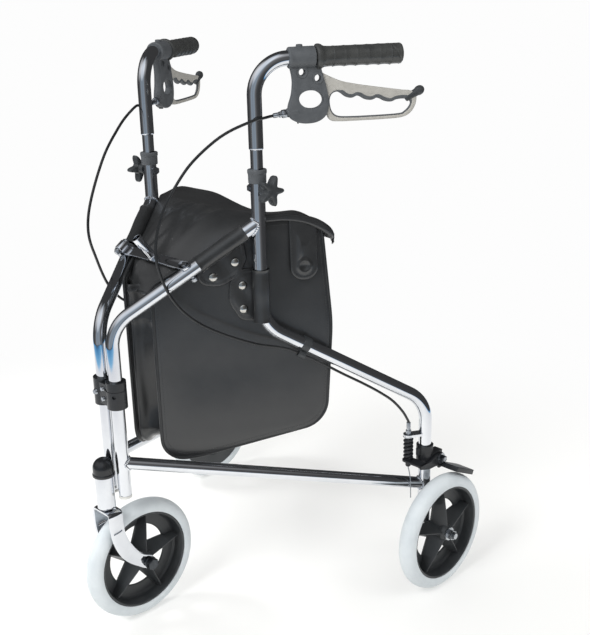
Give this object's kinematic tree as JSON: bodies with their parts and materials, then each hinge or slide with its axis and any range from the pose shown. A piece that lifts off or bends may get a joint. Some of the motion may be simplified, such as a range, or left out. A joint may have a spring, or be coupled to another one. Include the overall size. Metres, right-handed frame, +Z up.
{
  "type": "three wheel rollator",
  "caption": "Folding tube-frame walking aid on a swivelling front caster and braked rear wheels, with height-adjustable loop-brake handles and a hanging vinyl bag.",
  "frame": {"origin": "on the floor under the middle of the outline, unfolded, handles as in the picture", "axes": "+Z up, +Y to the user behind the walker, +X to the user's left as the user faces the walker's front"},
  "size_m": [0.659, 0.594, 0.892],
  "materials": {
    "chrome_tube": "chrome plated steel tube",
    "grey_tyre": "light grey solid tyre",
    "black_moulding": "moulded black plastic",
    "grip_rubber": "soft ribbed grip",
    "lever_alloy": "satin cast alloy",
    "grey_moulding": "moulded dark grey plastic",
    "cable_sleeve": "smooth black cable sleeve",
    "zinc_steel": "bright zinc plated steel",
    "black_steel": "black powder coated steel",
    "nickel_rivet": "nickel plated rivet",
    "black_vinyl": "grained black vinyl sheet"
  },
  "bodies": {
    "right_frame": {"right_frame": "chrome_tube", "right_tube_plugs": "black_moulding", "hinge_bracket": "black_moulding", "hinge_rivets": "zinc_steel", "caster_housing": "chrome_tube", "caster_cap": "black_moulding", "right_axle": "zinc_steel", "right_collar": "black_moulding", "right_brake_cable": "cable_sleeve", "right_cable_clip": "black_moulding", "right_brake_bracket": "black_steel", "right_brake_bolt": "zinc_steel", "right_brake_spring": "black_steel", "lock_pivot": "zinc_steel", "right_bag_panel": "black_vinyl", "bag_gusset": "black_vinyl", "bag_flap": "black_vinyl", "right_bag_straps": "black_vinyl", "right_bag_rivets": "nickel_rivet"},
    "left_frame": {"left_frame": "chrome_tube", "left_tube_plugs": "black_moulding", "left_axle": "zinc_steel", "left_collar": "black_moulding", "left_brake_cable": "cable_sleeve", "left_cable_clip": "black_moulding", "left_brake_bracket": "black_steel", "left_brake_bolt": "zinc_steel", "left_brake_spring": "black_steel", "lock_peg": "zinc_steel", "left_bag_panel": "black_vinyl", "left_bag_straps": "black_vinyl", "left_bag_rivets": "nickel_rivet"},
    "caster": {"caster_fork": "chrome_tube", "caster_nuts": "zinc_steel", "front_axle": "zinc_steel"},
    "front_wheel": {"front_hub": "black_moulding", "front_tyre": "grey_tyre"},
    "lock_bar": {"lock_bar": "black_steel"},
    "left_wheel": {"left_hub": "black_moulding", "left_tyre": "grey_tyre"},
    "left_handle": {"left_handle_tube": "chrome_tube", "left_handle_post": "chrome_tube", "left_grip": "grip_rubber", "left_brake_housing": "grey_moulding", "left_brake_fittings": "zinc_steel"},
    "left_lever": {"left_brake_lever": "lever_alloy"},
    "left_knob": {"left_star_knob": "black_moulding", "left_knob_bolt": "zinc_steel"},
    "left_arm": {"left_brake_arm": "black_steel"},
    "right_wheel": {"right_hub": "black_moulding", "right_tyre": "grey_tyre"},
    "right_handle": {"right_handle_tube": "chrome_tube", "right_handle_post": "chrome_tube", "right_grip": "grip_rubber", "right_brake_housing": "grey_moulding", "right_brake_fittings": "zinc_steel"},
    "right_lever": {"right_brake_lever": "lever_alloy"},
    "right_knob": {"right_star_knob": "black_moulding", "right_knob_bolt": "zinc_steel"},
    "right_arm": {"right_brake_arm": "black_steel"}
  },
  "joints": [
    {"name": "frame_fold", "type": "hinge", "parent": "right_frame", "child": "left_frame", "pos_m": [0.016, -0.22908, 0.4], "axis": [0, 0, 1], "range_deg": [0, 46], "deforming": ["bag_gusset", "bag_flap"]},
    {"name": "lock_lift", "type": "hinge", "parent": "right_frame", "child": "lock_bar", "pos_m": [-0.0755, -0.13646, 0.59246], "axis": [0, -0.8173, -0.5762], "range_deg": [0, 86]},
    {"name": "caster_swivel", "type": "hinge", "parent": "right_frame", "child": "caster", "pos_m": [-0.00483, -0.251, 0.24], "axis": [0, 0, 1], "continuous": true},
    {"name": "front_wheel_spin", "type": "hinge", "parent": "caster", "child": "front_wheel", "pos_m": [-0.00483, -0.197, 0.1], "axis": [1, 0, 0], "continuous": true},
    {"name": "left_wheel_spin", "type": "hinge", "parent": "left_frame", "child": "left_wheel", "pos_m": [0.298, 0.197, 0.1], "axis": [1, 0, 0], "continuous": true},
    {"name": "left_handle_height", "type": "slide", "parent": "left_frame", "child": "left_handle", "axis": [0, 0, 1], "range_m": [-0.026, 0.094], "deforming": ["left_brake_cable"]},
    {"name": "left_lever_squeeze", "type": "hinge", "parent": "left_handle", "child": "left_lever", "pos_m": [0.175, 0.04631, 0.845], "axis": [0.866, -0.5, 0], "range_deg": [0, 12], "stiffness_Nm_per_rad": 4, "springref_deg": -5.73},
    {"name": "left_brake_press", "type": "hinge", "parent": "left_frame", "child": "left_arm", "pos_m": [0.2778, 0.215, 0.221], "axis": [-1, 0, 0], "range_deg": [0, 4], "deforming": ["left_brake_spring", "left_brake_cable"]},
    {"name": "left_knob_turn", "type": "hinge", "parent": "left_frame", "child": "left_knob", "pos_m": [0.129, -0.03336, 0.692], "axis": [1, 0, 0], "range_deg": [0, 360]},
    {"name": "right_wheel_spin", "type": "hinge", "parent": "right_frame", "child": "right_wheel", "pos_m": [-0.298, 0.197, 0.1], "axis": [1, 0, 0], "continuous": true},
    {"name": "right_handle_height", "type": "slide", "parent": "right_frame", "child": "right_handle", "axis": [0, 0, 1], "range_m": [-0.026, 0.094], "deforming": ["right_brake_cable"]},
    {"name": "right_lever_squeeze", "type": "hinge", "parent": "right_handle", "child": "right_lever", "pos_m": [-0.175, 0.04631, 0.845], "axis": [0.866, 0.5, 0], "range_deg": [0, 12], "stiffness_Nm_per_rad": 4, "springref_deg": -5.73},
    {"name": "right_brake_press", "type": "hinge", "parent": "right_frame", "child": "right_arm", "pos_m": [-0.2778, 0.215, 0.221], "axis": [-1, 0, 0], "range_deg": [0, 4], "deforming": ["right_brake_spring", "right_brake_cable"]},
    {"name": "right_knob_turn", "type": "hinge", "parent": "right_frame", "child": "right_knob", "pos_m": [-0.129, -0.03336, 0.692], "axis": [-1, 0, 0], "range_deg": [0, 360]}
  ],
  "couplings": [
    {"joint": "lock_lift", "follows": "frame_fold", "ratio": 1.85},
    {"joint": "left_brake_press", "follows": "left_lever_squeeze", "ratio": 0.33333},
    {"joint": "right_brake_press", "follows": "right_lever_squeeze", "ratio": 0.33333}
  ]
}
